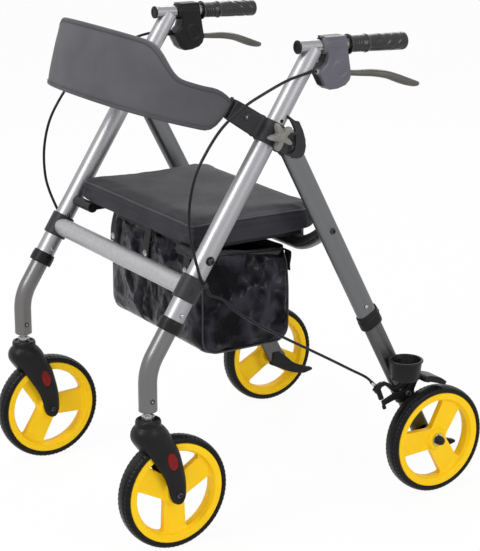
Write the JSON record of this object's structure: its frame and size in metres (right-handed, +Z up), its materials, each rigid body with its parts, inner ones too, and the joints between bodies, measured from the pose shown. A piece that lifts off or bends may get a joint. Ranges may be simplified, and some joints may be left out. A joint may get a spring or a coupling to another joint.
{
  "type": "rollator",
  "caption": "Folding wheeled walking frame with hand brakes, padded seat with a bag under it, curved backrest band and height-adjustable handles and legs",
  "frame": {"origin": "on the floor, under the middle of the bounding box", "axes": "+X across to the user's left, -Y in the direction of travel, +Y towards the standing user, +Z up"},
  "size_m": [0.625, 0.724, 0.8557],
  "materials": {
    "satin_silver": "satin, lightly brushed along the tube",
    "grey_tube": "dark silver satin coat",
    "pale_tube": "satin silver",
    "black_nylon": "moulded nylon, satin",
    "grey_knob": "moulded, matte",
    "grip_rubber": "soft grip rubber",
    "housing_plastic": "moulded, satin",
    "lever_alloy": "olive grey coat, satin",
    "tyre_rubber": "solid tyre, matte",
    "yellow_rim": "moulded, semi-gloss",
    "zinc_steel": "zinc plated",
    "seat_fabric": "coated woven cover",
    "back_fabric": "coated woven cover",
    "bag_nylon": "woven nylon",
    "cable_sheath": "extruded sheath, satin"
  },
  "bodies": {
    "front_frame": {"front_tube_left": "satin_silver", "front_tube_right": "satin_silver", "front_leg_left": "satin_silver", "front_leg_right": "satin_silver", "front_collar_left": "black_nylon", "front_collar_right": "black_nylon", "tee_connector_left": "black_nylon", "tee_connector_right": "black_nylon", "top_bracket_left": "black_nylon", "top_bracket_right": "black_nylon", "brake_cable_upper_left": "cable_sheath", "brake_cable_upper_right": "cable_sheath", "brake_cable_lower_left": "cable_sheath", "brake_cable_lower_right": "cable_sheath", "front_crossbar": "pale_tube", "backrest_band": "back_fabric", "bag": "bag_nylon"},
    "rear_frame": {"rear_tube_left": "grey_tube", "rear_tube_right": "grey_tube", "rear_leg_left": "grey_tube", "rear_leg_right": "grey_tube", "rear_collar_left": "black_nylon", "rear_collar_right": "black_nylon", "brake_bracket_left": "black_nylon", "brake_bracket_right": "black_nylon", "rear_crossbar": "grey_tube", "crossbar_sleeve": "black_nylon", "cane_cup": "black_nylon"},
    "seat": {"seat_frame": "black_nylon", "seat_cushion": "seat_fabric"},
    "handle_left": {"handle_tube_left": "satin_silver", "handle_end_cap_left": "black_nylon", "hand_grip_left": "grip_rubber", "brake_housing_left": "housing_plastic"},
    "lever_left": {"brake_lever_left": "lever_alloy"},
    "knob_left": {"star_knob_left": "grey_knob"},
    "caster_left": {"caster_stem_left": "zinc_steel", "caster_fork_left": "black_nylon"},
    "front_wheel_left": {"front_rim_left": "yellow_rim", "front_tyre_left": "tyre_rubber"},
    "rear_wheel_left": {"rear_rim_left": "yellow_rim", "rear_tyre_left": "tyre_rubber"},
    "brake_left": {"brake_arm_left": "black_nylon"},
    "front_button_left": {"front_leg_button_left": "zinc_steel"},
    "rear_button_left": {"rear_leg_button_left": "zinc_steel"},
    "handle_right": {"handle_tube_right": "satin_silver", "handle_end_cap_right": "black_nylon", "hand_grip_right": "grip_rubber", "brake_housing_right": "housing_plastic"},
    "lever_right": {"brake_lever_right": "lever_alloy"},
    "knob_right": {"star_knob_right": "grey_knob"},
    "caster_right": {"caster_stem_right": "zinc_steel", "caster_fork_right": "black_nylon"},
    "front_wheel_right": {"front_rim_right": "yellow_rim", "front_tyre_right": "tyre_rubber"},
    "rear_wheel_right": {"rear_rim_right": "yellow_rim", "rear_tyre_right": "tyre_rubber"},
    "brake_right": {"brake_arm_right": "black_nylon"},
    "front_button_right": {"front_leg_button_right": "zinc_steel"},
    "rear_button_right": {"rear_leg_button_right": "zinc_steel"}
  },
  "joints": [
    {"name": "handle_height_left", "type": "slide", "parent": "front_frame", "child": "handle_left", "axis": [0, 0.5394, 0.8421], "range_m": [-0.0508, 0.0762], "deforming": ["brake_cable_upper_left"]},
    {"name": "knob_turn_left", "type": "hinge", "parent": "front_frame", "child": "knob_left", "pos_m": [0.241, -0.07065, 0.694], "axis": [1, 0, 0], "range_deg": [-180, 180]},
    {"name": "lever_squeeze_left", "type": "hinge", "parent": "handle_left", "child": "lever_left", "pos_m": [0.241, 0.0595, 0.78398], "axis": [1, 0, 0], "range_deg": [0, 14], "stiffness_Nm_per_rad": 6, "springref_deg": -8.59},
    {"name": "caster_swivel_left", "type": "hinge", "parent": "front_frame", "child": "caster_left", "pos_m": [0.241, -0.307, 0.237], "axis": [0, 0, 1], "continuous": true},
    {"name": "front_wheel_spin_left", "type": "hinge", "parent": "caster_left", "child": "front_wheel_left", "pos_m": [0.241, -0.262, 0.1], "axis": [1, 0, 0], "continuous": true},
    {"name": "rear_wheel_spin_left", "type": "hinge", "parent": "rear_frame", "child": "rear_wheel_left", "pos_m": [0.281, 0.262, 0.1], "axis": [1, 0, 0], "continuous": true},
    {"name": "brake_press_left", "type": "hinge", "parent": "rear_frame", "child": "brake_left", "pos_m": [0.246, 0.21484, 0.18999], "axis": [1, 0, 0], "range_deg": [-2.7, 0]},
    {"name": "front_button_push_left", "type": "slide", "parent": "front_frame", "child": "front_button_left", "axis": [-1, 0, 0], "range_m": [0, 0.004], "stiffness_N_per_m": 900, "springref_m": -0.003},
    {"name": "rear_button_push_left", "type": "slide", "parent": "rear_frame", "child": "rear_button_left", "axis": [-1, 0, 0], "range_m": [0, 0.004], "stiffness_N_per_m": 900, "springref_m": -0.003},
    {"name": "handle_height_right", "type": "slide", "parent": "front_frame", "child": "handle_right", "axis": [0, 0.5394, 0.8421], "range_m": [-0.0508, 0.0762], "deforming": ["brake_cable_upper_right"]},
    {"name": "knob_turn_right", "type": "hinge", "parent": "front_frame", "child": "knob_right", "pos_m": [-0.241, -0.07065, 0.694], "axis": [1, 0, 0], "range_deg": [-180, 180]},
    {"name": "lever_squeeze_right", "type": "hinge", "parent": "handle_right", "child": "lever_right", "pos_m": [-0.241, 0.0595, 0.78398], "axis": [1, 0, 0], "range_deg": [0, 14], "stiffness_Nm_per_rad": 6, "springref_deg": -8.59},
    {"name": "caster_swivel_right", "type": "hinge", "parent": "front_frame", "child": "caster_right", "pos_m": [-0.241, -0.307, 0.237], "axis": [0, 0, 1], "continuous": true},
    {"name": "front_wheel_spin_right", "type": "hinge", "parent": "caster_right", "child": "front_wheel_right", "pos_m": [-0.241, -0.262, 0.1], "axis": [1, 0, 0], "continuous": true},
    {"name": "rear_wheel_spin_right", "type": "hinge", "parent": "rear_frame", "child": "rear_wheel_right", "pos_m": [-0.281, 0.262, 0.1], "axis": [1, 0, 0], "continuous": true},
    {"name": "brake_press_right", "type": "hinge", "parent": "rear_frame", "child": "brake_right", "pos_m": [-0.246, 0.21484, 0.18999], "axis": [1, 0, 0], "range_deg": [-2.7, 0]},
    {"name": "front_button_push_right", "type": "slide", "parent": "front_frame", "child": "front_button_right", "axis": [1, 0, 0], "range_m": [0, 0.004], "stiffness_N_per_m": 900, "springref_m": -0.003},
    {"name": "rear_button_push_right", "type": "slide", "parent": "rear_frame", "child": "rear_button_right", "axis": [1, 0, 0], "range_m": [0, 0.004], "stiffness_N_per_m": 900, "springref_m": -0.003},
    {"name": "leg_fold", "type": "hinge", "parent": "front_frame", "child": "rear_frame", "pos_m": [0, -0.03572, 0.66806], "axis": [-1, 0, 0], "range_deg": [0, 32], "deforming": ["bag", "brake_cable_lower_left", "brake_cable_lower_right"]},
    {"name": "seat_lift", "type": "hinge", "parent": "front_frame", "child": "seat", "pos_m": [0, -0.19654, 0.49746], "axis": [1, 0, 0], "range_deg": [0, 57.4]}
  ],
  "couplings": [
    {"joint": "brake_press_left", "follows": "lever_squeeze_left", "ratio": -0.19},
    {"joint": "brake_press_right", "follows": "lever_squeeze_right", "ratio": -0.19},
    {"joint": "seat_lift", "follows": "leg_fold", "ratio": 1.79}
  ]
}
